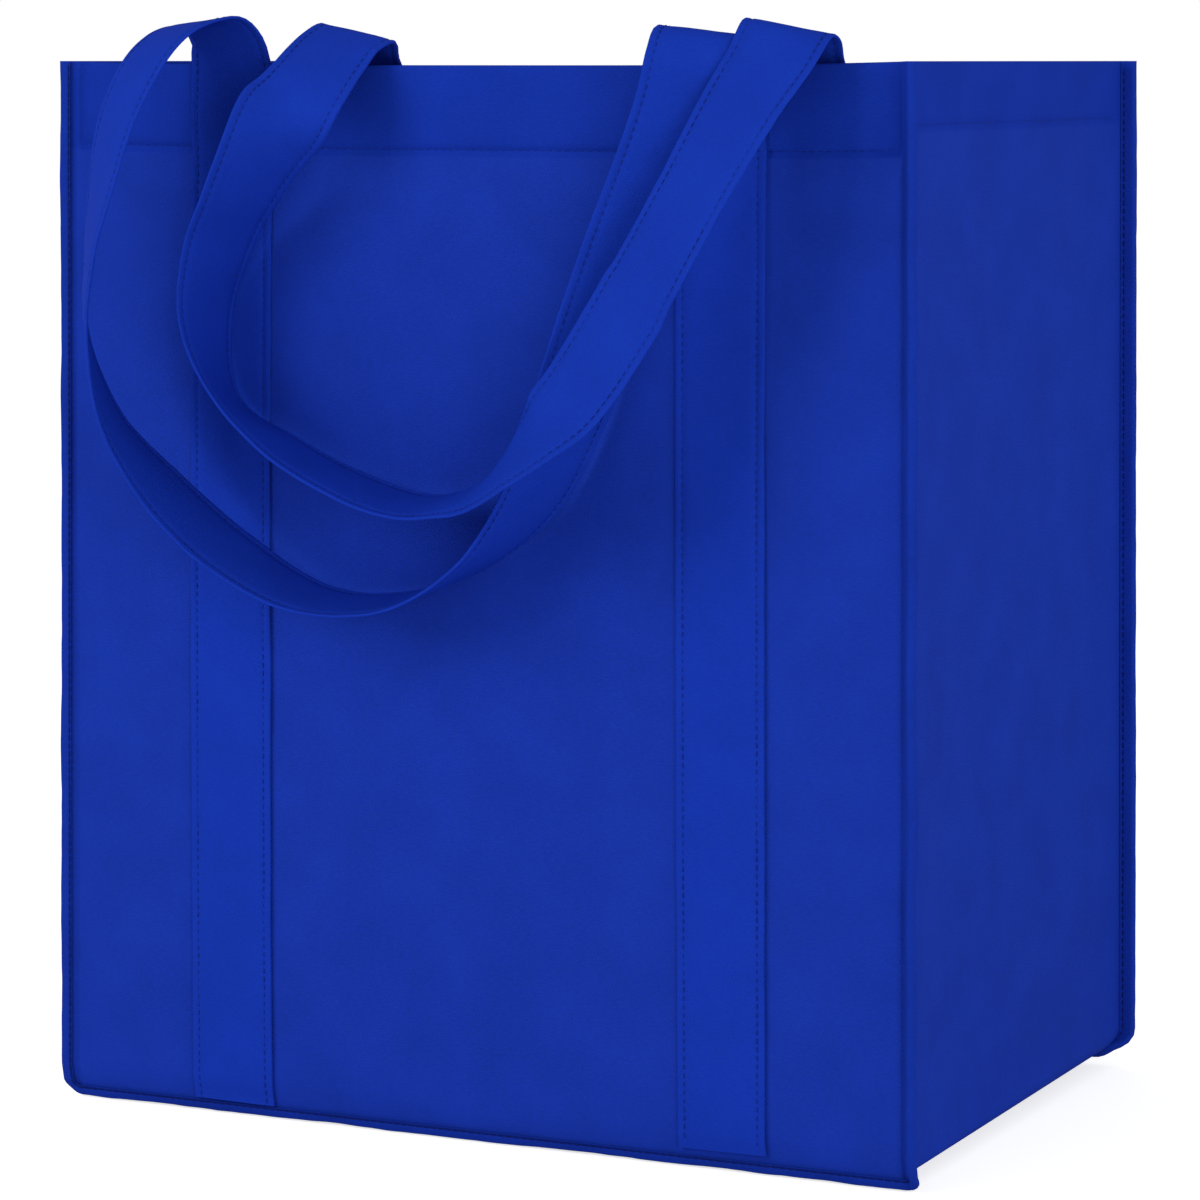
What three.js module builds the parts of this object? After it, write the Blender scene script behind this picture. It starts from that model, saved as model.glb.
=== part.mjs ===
// A non-woven shopping tote that stands open, with both of its carrying handles flopped over the front.
// Millimetres, +Z up, the front faces -Y. The shapes are drawn round the middle of the bag's body. At the end
// the whole bag moves so that the origin is on the floor under the middle of its bounding box.
import * as THREE from "three";

// Size of the body, measured between the seams
const WIDTH = 330;
const DEPTH = 220;
const HEIGHT = 380;
const TOP_TAPER = 4;
const TOP_TAPER_DEPTH = 2.4;

// Cloth, seams and hems
const CLOTH = 0.8;
const GAP = 0.3;
const SEAM_ALLOWANCE = 5;
const TAPE = 0.5;
const CORNER_RADIUS = 9;
const FRONT_HEM = 29;
const SIDE_HEM = 21;

// How the cloth hangs: the walls swell or sink between their edges, the free top edges droop
const FRONT_SWELL = 2;
const BACK_SWELL = 2;
const SIDE_SINK = 3;
const FRONT_DROOP = 1.4;
const BACK_DROOP = 5.5;

// Straps, which are sewn to the panels from the bottom seam to the hem and go on as the handles
const STRAP_WIDTH = 33;
const STRAP_THICKNESS = 1.2;
const STRAP_SPACING = 194;
const STRAP_END_CLEARANCE = 1;
const FRONT_LOOP_DROP = 188;
const BACK_LOOP_DROP = 152;

// Stiffener that lies loose on the bottom
const BOARD_THICKNESS = 2;
const BOARD_CLEARANCE = 7;
const BOARD_CORNER = 6;

// Values that follow from the sizes above
const FIN = SEAM_ALLOWANCE + GAP + TAPE;
const FLOOR_LIFT = FIN;
const HALF_WIDTH = WIDTH / 2;
const HALF_DEPTH = DEPTH / 2;
const BAND_HALF_DEPTH = HALF_DEPTH - CLOTH - GAP;
const FIN_RADIUS = CORNER_RADIUS + SEAM_ALLOWANCE;

const BLUE = 0x1a33a3;
const cloth = (name) => new THREE.MeshStandardMaterial({ name, color: BLUE, roughness: 0.85, metalness: 0 });

// Closed mesh from a list of vertices and triangles, turned so that its faces point outwards
function closedMesh(vertices, triangles) {
  let volume = 0;
  const a = new THREE.Vector3();
  for (const [i, j, k] of triangles) {
    volume += a.copy(vertices[j]).cross(vertices[k]).dot(vertices[i]);
  }
  const faces = volume < 0 ? triangles.map(([i, j, k]) => [i, k, j]) : triangles;
  const geometry = new THREE.BufferGeometry();
  geometry.setFromPoints(vertices);
  geometry.setIndex(faces.flat());
  geometry.computeVertexNormals();
  return geometry;
}

// Solid through a row of rings that all have the same number of points. The two ends are closed by
// the flat outline of the ring, given as a list of Vector2.
function loft(rings, outline) {
  const count = outline.length;
  const triangles = [];
  for (let r = 0; r + 1 < rings.length; r += 1) {
    for (let p = 0; p < count; p += 1) {
      const q = (p + 1) % count;
      const here = r * count;
      const next = here + count;
      triangles.push([here + p, here + q, next + q], [here + p, next + q, next + p]);
    }
  }
  const last = (rings.length - 1) * count;
  for (const [i, j, k] of THREE.ShapeUtils.triangulateShape(outline, [])) {
    const flip = THREE.ShapeUtils.isClockWise(outline);
    const [b, c] = flip ? [j, k] : [k, j];
    triangles.push([i, b, c], [last + i, last + c, last + b]);
  }
  return closedMesh(rings.flat(), triangles);
}

// Share of the way up the bag, 0 at the bottom seam and 1 at the top edge
const rise = (z) => THREE.MathUtils.clamp((z - FLOOR_LIFT) / (HEIGHT - FLOOR_LIFT), 0, 1);

// The body is a little narrower at the top than at the bottom
const lean = (taper, z) => -taper * rise(z);

// Depth of the swell of a wall at a height: none at the bottom seam, little at the hem
const swellAt = (z) => Math.sin(Math.PI * Math.min(rise(z), 1)) ** 0.8 + 0.25 * rise(z);

// Distance of the outer face of the front or back panel from the middle of the bag
function panelFace(x, z, swell) {
  const across = Math.min(Math.abs(x) / HALF_WIDTH, 1);
  return HALF_DEPTH + lean(TOP_TAPER_DEPTH, z) + swell * (1 - across ** 2) * swellAt(z);
}

// Height of the top edge, which droops between the corners
const topEdge = (x, droop) => HEIGHT - droop * (1 - Math.min(Math.abs(x) / HALF_WIDTH, 1) ** 4);

// Columns of a panel: close together round the bottom corners and at the ends of the hem
function panelColumns() {
  const edge = HALF_WIDTH + SEAM_ALLOWANCE;
  const columns = [];
  for (let i = 0; i <= 4; i += 1) {
    columns.push(edge - FIN_RADIUS + FIN_RADIUS * Math.cos((i * Math.PI) / 10));
  }
  const hemEnd = HALF_WIDTH - 2 * CLOTH - 4 * GAP;
  columns.push(hemEnd, hemEnd - CLOTH);
  for (let i = 1; i <= 6; i += 1) {
    columns.push(((hemEnd - CLOTH) * (6 - i)) / 6);
  }
  const right = columns.slice().sort((p, q) => p - q);
  const left = right.slice(1).reverse().map((x) => -x);
  return { columns: [...left, ...right], hemEnd };
}

// Front or back panel: a sheet with round bottom corners whose top hem is turned to the inside
function panel(swell, droop) {
  const { columns, hemEnd } = panelColumns();
  const edge = HALF_WIDTH + SEAM_ALLOWANCE;
  const rows = 15;
  const bottomEdge = (x) => {
    const past = Math.max(Math.abs(x) - (edge - FIN_RADIUS), 0);
    return GAP + TAPE + FIN_RADIUS - Math.sqrt(Math.max(FIN_RADIUS ** 2 - past ** 2, 0));
  };
  const outer = [];
  const inner = [];
  for (let r = 0; r <= rows + 2; r += 1) {
    for (const x of columns) {
      const top = topEdge(x, droop);
      const hemLine = top - FRONT_HEM;
      const bottom = bottomEdge(x);
      const belowHem = bottom + ((hemLine - CLOTH - bottom) * Math.min(r, rows)) / rows;
      const z = r <= rows ? belowHem : r === rows + 1 ? hemLine : top;
      const doubled = r > rows && Math.abs(x) < hemEnd - CLOTH / 2;
      const face = panelFace(x, z, swell);
      const px = x * (1 + lean(TOP_TAPER, z) / HALF_WIDTH);
      outer.push(new THREE.Vector3(px, -face, z));
      inner.push(new THREE.Vector3(px, -face + CLOTH * (doubled ? 2 : 1), z));
    }
  }
  return sheet(outer, inner, columns.length);
}

// Solid between two grids of points that match point by point
function sheet(outer, inner, columns) {
  const rows = outer.length / columns;
  const under = outer.length;
  const triangles = [];
  for (let r = 0; r + 1 < rows; r += 1) {
    for (let c = 0; c + 1 < columns; c += 1) {
      const i = r * columns + c;
      const j = i + columns;
      triangles.push([i, i + 1, j + 1], [i, j + 1, j]);
      triangles.push([under + i, under + j + 1, under + i + 1], [under + i, under + j, under + j + 1]);
    }
  }
  const rim = [];
  for (let c = 0; c + 1 < columns; c += 1) rim.push(c);
  for (let r = 0; r + 1 < rows; r += 1) rim.push(r * columns + columns - 1);
  for (let c = columns - 1; c > 0; c -= 1) rim.push((rows - 1) * columns + c);
  for (let r = rows - 1; r > 0; r -= 1) rim.push(r * columns);
  rim.forEach((i, n) => {
    const j = rim[(n + 1) % rim.length];
    triangles.push([i, under + i, under + j], [i, under + j, j]);
  });
  return closedMesh([...outer, ...inner], triangles);
}

// Path of the seam round the left side, the bottom and the right side. Each stop has the point on
// the body's outer corner line, the direction away from the body and how freely the wall can sink.
function seamPath(sideStops, bottomStops) {
  const stops = [];
  const corner = HALF_WIDTH - CORNER_RADIUS;
  const cornerZ = FLOOR_LIFT + CORNER_RADIUS;
  for (const z of sideStops) {
    const sink = Math.sin(Math.PI * rise(z)) ** 0.7;
    stops.push({ x: -HALF_WIDTH, z, outX: -1, outZ: 0, sink, below: HEIGHT - z });
  }
  for (let i = 0; i <= 5; i += 1) {
    const angle = (i * Math.PI) / 10;
    const outX = -Math.cos(angle);
    const outZ = -Math.sin(angle);
    stops.push({
      x: -corner + outX * CORNER_RADIUS,
      z: cornerZ + outZ * CORNER_RADIUS,
      outX,
      outZ,
      sink: 0,
      below: HEIGHT,
    });
  }
  for (const share of bottomStops) {
    stops.push({ x: share * corner, z: FLOOR_LIFT, outX: 0, outZ: -1, sink: 0, below: HEIGHT });
  }
  const mirrored = stops.filter((s) => s.x < -1e-6).reverse();
  return [...stops, ...mirrored.map((s) => ({ ...s, x: -s.x, outX: -s.outX }))];
}

// Point of a profile that is swept along the seam: away from the body and along the depth
function onSeam(stop, out, depth) {
  const z = stop.z + stop.outZ * out;
  const x = (stop.x + stop.outX * out) * (1 + lean(TOP_TAPER, z) / HALF_WIDTH);
  const share = Math.min(Math.abs(depth) / BAND_HALF_DEPTH, 1);
  const y = depth + Math.sign(depth) * lean(TOP_TAPER_DEPTH, z) * share;
  return new THREE.Vector3(x, y, z);
}

// Gusset: one band of cloth that is the left side, the bottom and the right side, with a seam
// allowance turned outwards along both edges and a hem turned inwards at both ends
function gussetBand() {
  const sideStops = [HEIGHT, HEIGHT - SIDE_HEM, HEIGHT - SIDE_HEM - CLOTH];
  const straight = HEIGHT - SIDE_HEM - CLOTH - FLOOR_LIFT - CORNER_RADIUS;
  for (let i = 1; i < 10; i += 1) sideStops.push(sideStops[2] - (straight * i) / 10);
  const half = BAND_HALF_DEPTH;
  const folds = 8;
  const inset = 2 * CLOTH + GAP;
  const profile = (stop) => {
    const hem = stop.below <= SIDE_HEM ? CLOTH : 0;
    const sunk = (y) => -SIDE_SINK * stop.sink * (1 - (y / half) ** 2);
    const across = (i) => (half - inset) * (1 - (2 * i) / folds);
    const points = [
      [-CLOTH, -half],
      [SEAM_ALLOWANCE, -half],
      [SEAM_ALLOWANCE, -half + CLOTH],
      [0, -half + CLOTH],
    ];
    for (let i = folds; i >= 0; i -= 1) points.push([sunk(across(i)), across(i)]);
    points.push([0, half - CLOTH], [SEAM_ALLOWANCE, half - CLOTH], [SEAM_ALLOWANCE, half], [-CLOTH, half]);
    for (let i = 0; i <= folds; i += 1) points.push([sunk(across(i)) - CLOTH - hem, across(i)]);
    return points;
  };
  const path = seamPath(sideStops, [-0.5, 0]);
  const rings = path.map((stop) => profile(stop).map(([out, depth]) => onSeam(stop, out, depth)));
  const outline = profile({ below: HEIGHT, sink: 0 }).map(([out, depth]) => new THREE.Vector2(out, depth));
  return loft(rings, outline);
}

// Tape folded over the seam allowances of a panel and the gusset, so that they stand out as a fin
function binding(side) {
  const reach = SEAM_ALLOWANCE + GAP;
  const outerFace = HALF_DEPTH + GAP;
  const innerFace = BAND_HALF_DEPTH - CLOTH - GAP;
  const start = GAP + TAPE;
  const profile = [
    [start, outerFace + TAPE],
    [reach + TAPE, outerFace + TAPE],
    [reach + TAPE, innerFace - TAPE],
    [start, innerFace - TAPE],
    [start, innerFace],
    [reach, innerFace],
    [reach, outerFace],
    [start, outerFace],
  ];
  const sideStops = [HEIGHT, HEIGHT * 0.66, HEIGHT * 0.33];
  const rings = seamPath(sideStops, [-0.5, 0]).map((stop) =>
    profile.map(([out, depth]) => onSeam(stop, out, side * depth)),
  );
  const outline = profile.map(([out, depth]) => new THREE.Vector2(out, side * depth));
  return loft(rings, outline);
}

// Ring of a strap: its middle, the direction across its width and the way it runs
function strapRing(middle, across, along) {
  const w = across.clone().addScaledVector(along, -across.dot(along) / along.lengthSq()).normalize();
  const n = new THREE.Vector3().crossVectors(along, w).setLength(STRAP_THICKNESS / 2);
  w.multiplyScalar(STRAP_WIDTH / 2);
  return [
    middle.clone().sub(w).sub(n),
    middle.clone().add(w).sub(n),
    middle.clone().add(w).add(n),
    middle.clone().sub(w).add(n),
  ];
}

// Highest point of the top edge under a strap whose middle is at x
const strapTop = (x, droop) => topEdge(Math.abs(x) + STRAP_WIDTH / 2, droop);

// Rings of the part of a strap that is sewn to a panel. way is 1 where the strap runs up from its
// end at the bottom seam and -1 where it runs down to it.
function sewnRings(x, side, swell, droop, way) {
  const rings = [];
  const from = FLOOR_LIFT + STRAP_END_CLEARANCE;
  const to = strapTop(x, droop) + GAP;
  const steps = 16;
  for (let i = 0; i <= steps; i += 1) {
    const z = from + ((to - from) * i) / steps;
    const shift = 1 + lean(TOP_TAPER, z) / HALF_WIDTH;
    const off = GAP + STRAP_THICKNESS / 2;
    const edge = (px) => new THREE.Vector3(px * shift, side * (panelFace(px, z, swell) + off), z);
    const low = edge(x - STRAP_WIDTH / 2);
    const high = edge(x + STRAP_WIDTH / 2);
    const middle = low.clone().lerp(high, 0.5);
    const across = high.sub(low).multiplyScalar(way);
    rings.push(strapRing(middle, across, new THREE.Vector3(0, 0, way)));
  }
  return way > 0 ? rings : rings.reverse();
}

// Station at the last ring of a sewn run, from which the free handle goes on
function endOf(ring, across) {
  const middle = new THREE.Vector3();
  ring.forEach((corner) => middle.addScaledVector(corner, 1 / ring.length));
  return { middle, across: new THREE.Vector3(across, 0, 0) };
}

// Rings of a free handle through its stations. Each station gives the middle of the strap and the
// direction across its width.
function handleRings(stations, stepsPerStation) {
  const middles = new THREE.CatmullRomCurve3(stations.map((s) => s.middle), false, "centripetal");
  const widths = new THREE.CatmullRomCurve3(stations.map((s) => s.across), false, "catmullrom", 0.5);
  const steps = (stations.length - 1) * stepsPerStation;
  const rings = [];
  for (let i = 1; i < steps; i += 1) {
    const t = i / steps;
    rings.push(strapRing(middles.getPoint(t), widths.getPoint(t), middles.getTangent(t)));
  }
  return rings;
}

// Station in front of the front panel. x is a share of the bag's width, out counts strap widths in
// front of the panel, down is a share of the loop's drop below the top edge. turn swings the width
// of the strap round from left-to-right, towards the viewer where it is positive, and tilt lifts it.
function hung([x, out, down, turn, tilt], drop) {
  const yaw = THREE.MathUtils.degToRad(turn);
  const pitch = THREE.MathUtils.degToRad(tilt);
  const z = HEIGHT - down * drop;
  const face = panelFace(x * WIDTH, z, FRONT_SWELL);
  return {
    middle: new THREE.Vector3(x * WIDTH, -(face + out * STRAP_WIDTH), z),
    across: new THREE.Vector3(
      Math.cos(yaw) * Math.cos(pitch),
      -Math.sin(yaw) * Math.cos(pitch),
      Math.sin(pitch),
    ),
  };
}

// Front handle: it rises from the left strap, folds over outwards, turns edge-on to the panel on
// its way down, swings under the other handle and comes up to the right strap
const FRONT_LOOP = [
  [-0.286, 0.11, -0.034, 12, 8],
  [-0.295, 0.28, -0.066, 18, 7],
  [-0.312, 0.56, -0.064, 27, 4],
  [-0.333, 0.88, -0.02, 31, 1],
  [-0.356, 1.2, 0.1, 36, -2],
  [-0.369, 1.34, 0.23, 44, -3],
  [-0.381, 1.39, 0.357, 53, -2],
  [-0.386, 1.38, 0.5, 58, -1],
  [-0.366, 1.23, 0.663, 71, -4],
  [-0.312, 0.98, 0.803, 86, -12],
  [-0.241, 0.78, 0.915, 89, -14],
  [-0.152, 0.62, 0.993, 86, -9],
  [-0.049, 0.54, 0.986, 84, -6],
  [0.038, 0.53, 0.91, 92, 1],
  [0.098, 0.53, 0.798, 105, 8],
  [0.135, 0.5, 0.656, 118, 11],
  [0.167, 0.43, 0.499, 126, 13],
  [0.204, 0.39, 0.333, 135, 15],
  [0.241, 0.39, 0.182, 145, 15],
  [0.267, 0.47, 0.076, 155, 13],
  [0.28, 0.52, -0.004, 163, 9],
  [0.279, 0.32, -0.049, 171, 7],
  [0.281, 0.04, -0.04, 177, 5],
];

// Back handle, from where it comes up over the front edge on the left to where it goes back in
const BACK_LOOP = [
  [-0.148, -0.39, -0.03, 8, -16],
  [-0.146, -0.24, -0.063, 4, -12],
  [-0.153, 0.02, -0.044, -2, -5],
  [-0.159, 0.29, 0.0, -8, -2],
  [-0.166, 0.54, 0.054, -15, 1],
  [-0.179, 0.76, 0.12, -29, 5],
  [-0.201, 0.84, 0.205, -47, 6],
  [-0.232, 0.79, 0.312, -61, 3],
  [-0.265, 0.66, 0.421, -71, 1],
  [-0.286, 0.59, 0.589, -85, -2],
  [-0.263, 0.64, 0.756, -98, -11],
  [-0.193, 0.65, 0.872, -89, -1],
  [-0.114, 0.69, 0.952, -86, 4],
  [-0.031, 0.76, 0.997, -83, 8],
  [0.05, 1, 0.962, -89, 17],
  [0.124, 1.44, 0.86, -110, 31],
  [0.157, 1.49, 0.8, -128, 36],
  [0.186, 1.37, 0.73, -146, 35],
  [0.239, 1.19, 0.54, -158, 25],
  [0.255, 1.2, 0.481, -156, 18],
  [0.307, 1.03, 0.259, -157, 14],
  [0.342, 0.77, 0.092, -165, 12],
  [0.362, 0.47, -0.01, -174, 11],
  [0.368, 0.2, -0.072, -180, 10],
  [0.367, -0.02, -0.058, -182, 9],
  [0.364, -0.17, -0.018, -183, 9],
];

// Way of the back handle through the mouth of the bag, from the back edge to the front edge: x as a
// share of the way between the two, y as a share of the depth from the back, and its sag
const MOUTH_RUN = [
  [0.02, 0.06, 0.16],
  [0.12, 0.18, 0.26],
  [0.45, 0.45, 0.31],
  [0.8, 0.72, 0.25],
];

function mouthStations(fromX, toX, across) {
  return MOUTH_RUN.map(([share, back, sag]) => ({
    middle: new THREE.Vector3(
      THREE.MathUtils.lerp(fromX, toX, share),
      HALF_DEPTH - back * DEPTH,
      HEIGHT - sag * BACK_LOOP_DROP,
    ),
    across: new THREE.Vector3(across, 0, 0),
  }));
}

// Tight fold of the back strap over the back edge, which lets it fall into the bag
function backFold(x, across) {
  const top = strapTop(x, BACK_DROOP);
  const face = panelFace(x, top, BACK_SWELL);
  const off = GAP + STRAP_THICKNESS / 2;
  const hemInside = face - 2 * CLOTH;
  const shift = 1 + lean(TOP_TAPER, top) / HALF_WIDTH;
  return [
    [face + off, top + GAP],
    [face + off * 0.6, top + off * 1.1],
    [(face + hemInside) / 2, top + off * 1.6],
    [hemInside - off * 0.8, top + off * 1.1],
    [hemInside - off * 1.3, top + GAP],
    [hemInside - off * 2, top - 6 * STRAP_THICKNESS],
  ].map(([y, z]) => ({
    middle: new THREE.Vector3(x * shift, y, z),
    across: new THREE.Vector3(across, 0, 0),
  }));
}

const rectangle = [
  new THREE.Vector2(-1, -1),
  new THREE.Vector2(1, -1),
  new THREE.Vector2(1, 1),
  new THREE.Vector2(-1, 1),
];

// Front strap: one length of webbing, sewn up the left of the panel, free as the handle and sewn
// down the right
function frontStrap() {
  const x = STRAP_SPACING / 2;
  const up = sewnRings(-x, -1, FRONT_SWELL, FRONT_DROOP, 1);
  const down = sewnRings(x, -1, FRONT_SWELL, FRONT_DROOP, -1);
  const stations = [
    endOf(up[up.length - 1], 1),
    ...FRONT_LOOP.map((row) => hung(row, FRONT_LOOP_DROP)),
    endOf(down[0], -1),
  ];
  return loft([...up, ...handleRings(stations, 4), ...down], rectangle);
}

// Back strap: sewn to the back panel in the same way, but its handle lies across the mouth of the
// bag and hangs over the front edge
function backStrap() {
  const x = STRAP_SPACING / 2;
  const up = sewnRings(-x, 1, BACK_SWELL, BACK_DROOP, 1);
  const down = sewnRings(x, 1, BACK_SWELL, BACK_DROOP, -1);
  const leftEntry = BACK_LOOP[0][0] * WIDTH;
  const rightEntry = BACK_LOOP[BACK_LOOP.length - 1][0] * WIDTH;
  const stations = [
    ...backFold(-x, 1),
    ...mouthStations(-x, leftEntry, 1),
    ...BACK_LOOP.map((row) => hung(row, BACK_LOOP_DROP)),
    ...mouthStations(x, rightEntry, -1).reverse(),
    ...backFold(x, -1).reverse(),
  ];
  return loft([...up, ...handleRings(stations, 4), ...down], rectangle);
}

// Stiffener: a loose board with round corners that lies on the bottom of the gusset
function bottomBoard() {
  const halfX = HALF_WIDTH - CLOTH - BOARD_CLEARANCE;
  const halfY = BAND_HALF_DEPTH - CLOTH - BOARD_CLEARANCE;
  const shape = new THREE.Shape();
  shape.moveTo(-halfX + BOARD_CORNER, -halfY);
  shape.lineTo(halfX - BOARD_CORNER, -halfY);
  shape.absarc(halfX - BOARD_CORNER, -halfY + BOARD_CORNER, BOARD_CORNER, -Math.PI / 2, 0);
  shape.absarc(halfX - BOARD_CORNER, halfY - BOARD_CORNER, BOARD_CORNER, 0, Math.PI / 2);
  shape.absarc(-halfX + BOARD_CORNER, halfY - BOARD_CORNER, BOARD_CORNER, Math.PI / 2, Math.PI);
  shape.absarc(-halfX + BOARD_CORNER, -halfY + BOARD_CORNER, BOARD_CORNER, Math.PI, 1.5 * Math.PI);
  return new THREE.ExtrudeGeometry(shape, {
    depth: BOARD_THICKNESS,
    bevelEnabled: false,
    curveSegments: 6,
  });
}

const tote = new THREE.Group();
const add = (name, geometry, material = cloth(name)) => {
  const mesh = new THREE.Mesh(geometry, material);
  mesh.name = name;
  tote.add(mesh);
  return mesh;
};

add("front_panel", panel(FRONT_SWELL, FRONT_DROOP));
const back = add("back_panel", panel(BACK_SWELL, BACK_DROOP));
back.rotation.z = Math.PI;
add("gusset_band", gussetBand());
add("front_binding", binding(-1));
add("back_binding", binding(1));
add("front_strap", frontStrap());
add("back_strap", backStrap());
const boardMaterial = new THREE.MeshStandardMaterial({ name: "board", color: 0x1d2f7a, roughness: 0.6 });
const board = add("bottom_board", bottomBoard(), boardMaterial);
board.position.z = FLOOR_LIFT + CLOTH + GAP;

// The handles reach out past the front, so the middle of the bounding box is in front of the middle
// of the body. The bag moves back by that distance.
const bounds = new THREE.Box3().setFromObject(tote);
const middleY = (bounds.min.y + bounds.max.y) / 2;
tote.children.forEach((mesh) => {
  mesh.position.y -= middleY;
});

export default tote;
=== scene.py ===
# Looks of a non-woven carrier bag that stands open, with both of its handles flopped over the front.
# Shapes are worked out in millimetres in the frame of the model and written in metres.
import math

import bpy
import numpy as np
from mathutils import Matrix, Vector, noise


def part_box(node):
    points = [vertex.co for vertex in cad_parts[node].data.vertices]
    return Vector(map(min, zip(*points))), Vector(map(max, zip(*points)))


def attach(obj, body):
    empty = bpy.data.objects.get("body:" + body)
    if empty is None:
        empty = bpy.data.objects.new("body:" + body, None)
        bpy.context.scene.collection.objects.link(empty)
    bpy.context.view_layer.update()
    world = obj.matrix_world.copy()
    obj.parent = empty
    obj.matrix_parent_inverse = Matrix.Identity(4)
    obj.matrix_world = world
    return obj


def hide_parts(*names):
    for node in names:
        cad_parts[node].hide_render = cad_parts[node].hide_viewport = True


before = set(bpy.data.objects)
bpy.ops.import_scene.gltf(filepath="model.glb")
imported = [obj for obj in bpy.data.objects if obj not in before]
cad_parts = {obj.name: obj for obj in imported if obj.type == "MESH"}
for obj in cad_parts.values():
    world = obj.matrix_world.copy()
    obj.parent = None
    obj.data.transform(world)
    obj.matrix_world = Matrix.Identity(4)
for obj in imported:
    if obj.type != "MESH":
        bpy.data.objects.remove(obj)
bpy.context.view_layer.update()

MM = 0.001

# Size of the body, its cloth, seams and hems, as in the model
WIDTH, DEPTH, HEIGHT = 330, 220, 380
TOP_TAPER, TOP_TAPER_DEPTH = 4, 2.4
CLOTH, GAP, TAPE = 0.8, 0.3, 0.5
SEAM_ALLOWANCE = 5
FRONT_HEM, SIDE_HEM = 29, 21
SWELL, SIDE_SINK = 2, 3
FRONT_DROOP, BACK_DROOP = 1.4, 5.5

# Radii of the bottom corners. The model has the back one all round; in the photo the front is squarer.
FRONT_CORNER, BACK_CORNER = 1.5, 9

# Straps and their handles, as in the model
STRAP_WIDTH, STRAP_THICKNESS, STRAP_SPACING = 33, 1.2, 194
FRONT_LOOP_DROP, BACK_LOOP_DROP = 188, 152

# Values that follow from the sizes above
FLOOR_LIFT = SEAM_ALLOWANCE + GAP + TAPE
HALF_WIDTH, HALF_DEPTH = WIDTH / 2, DEPTH / 2
BAND_HALF_DEPTH = HALF_DEPTH - CLOTH - GAP
SEAM_MIDDLE = (HALF_DEPTH + GAP + BAND_HALF_DEPTH - CLOTH - GAP) / 2

# The inside of a folded tape lies this far off the seam allowances
TAPE_INSIDE = 0.08

# Sewing: stitches, half the thickness of their thread, and where they run
HEM_TUCK = 2.5
STITCH_PITCH, STITCH_LENGTH, THREAD = 3.0, 2.4, 0.2
# The tape rows have close, thick stitches. With their very dark thread they paint a shade line along the root
# of the bound seams.
TAPE_STITCH_LENGTH, TAPE_THREAD = 2.85, 0.36
STRAP_STITCH_INSET, TAPE_STITCH, THREAD_SINK = 2.8, 1.5, 0.22
HEM_STITCH_END = 160

# How the weight of the bag bends its seams, in degrees, and how far it draws the bottom seams in
NEAR_FIN_BEND, FRONT_FIN_LEAN, BACK_FIN_LEAN, BACK_CORNER_CURL = 47, 27, 8, 70
BOTTOM_TUCK = 1.4

# Rows of points in a panel below its hem, rows of faces in a side hem, stops along the bound seams
PANEL_ROWS, SIDE_HEM_ROWS, SEAM_STOPS, BOTTOM_STOPS = 92, 15, 124, 54

# Middle of the body on the floor in the frame, in metres. Everything else is placed from there.
BOARD_LOW, BOARD_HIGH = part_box("bottom_board")
MIDDLE = Vector((0, (BOARD_LOW.y + BOARD_HIGH.y) / 2, 0))

# Camera of the photo: where it looks, from which side and how far
LOOK_AT = MIDDLE + Vector((-0.0027, 0, 0.1815))
AZIMUTH, ELEVATION = math.radians(25.73), math.radians(6.85)
DISTANCE, LENS, SENSOR = 1.669, 135.0, 36.0


def make_camera():
    data = bpy.data.cameras.new("photo_camera")
    data.lens, data.sensor_width = LENS, SENSOR
    camera = bpy.data.objects.new("photo_camera", data)
    back = Vector((
        math.sin(AZIMUTH) * math.cos(ELEVATION),
        -math.cos(AZIMUTH) * math.cos(ELEVATION),
        math.sin(ELEVATION),
    ))
    camera.location = LOOK_AT + DISTANCE * back
    camera.rotation_euler = back.to_track_quat("Z", "Y").to_euler()
    bpy.context.collection.objects.link(camera)
    bpy.context.scene.camera = camera


# Small helpers for numbers
def clamp(value, low=0.0, high=1.0):
    return max(low, min(high, value))


def ease(value, start, end):
    """0 before start, 1 after end, smooth in between"""
    t = clamp((value - start) / (end - start))
    return t * t * (3 - 2 * t)


def dip(value, centre, reach):
    """1 at the centre and 0 at reach from it"""
    return math.exp(-(((value - centre) / reach) ** 2) * 2)


def smooth(values, start, end):
    """The same as ease for an array"""
    t = np.clip((values - start) / (end - start), 0, 1)
    return t * t * (3 - 2 * t)


def wave(x, y, seed, size):
    """Smooth bumps between about -1 and 1, of a size in millimetres"""
    return 2 * noise.noise(Vector((x / size, y / size, seed * 7.3)))


# Shape of the body
def rise(z):
    return clamp((z - FLOOR_LIFT) / (HEIGHT - FLOOR_LIFT))


def lean(taper, z):
    return -taper * rise(z)


def drawn_in(x, z):
    """x at the height z, nearer to the middle by the taper of the body"""
    return x * (1 + lean(TOP_TAPER, z) / HALF_WIDTH)


def swell_at(z):
    return math.sin(math.pi * rise(z)) ** 0.8 + 0.25 * rise(z)


def panel_face(x, z):
    across = min(abs(x) / HALF_WIDTH, 1)
    return HALF_DEPTH + lean(TOP_TAPER_DEPTH, z) + SWELL * (1 - across**2) * swell_at(z)


def top_edge(x, droop):
    return HEIGHT - droop * (1 - min(abs(x) / HALF_WIDTH, 1) ** 4)


def under_strap(x):
    """1 where a sewn strap lies on the panel, 0 away from it"""
    return 1 - ease(abs(abs(x) - STRAP_SPACING / 2), STRAP_WIDTH / 2, STRAP_WIDTH / 2 + 6)


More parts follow.
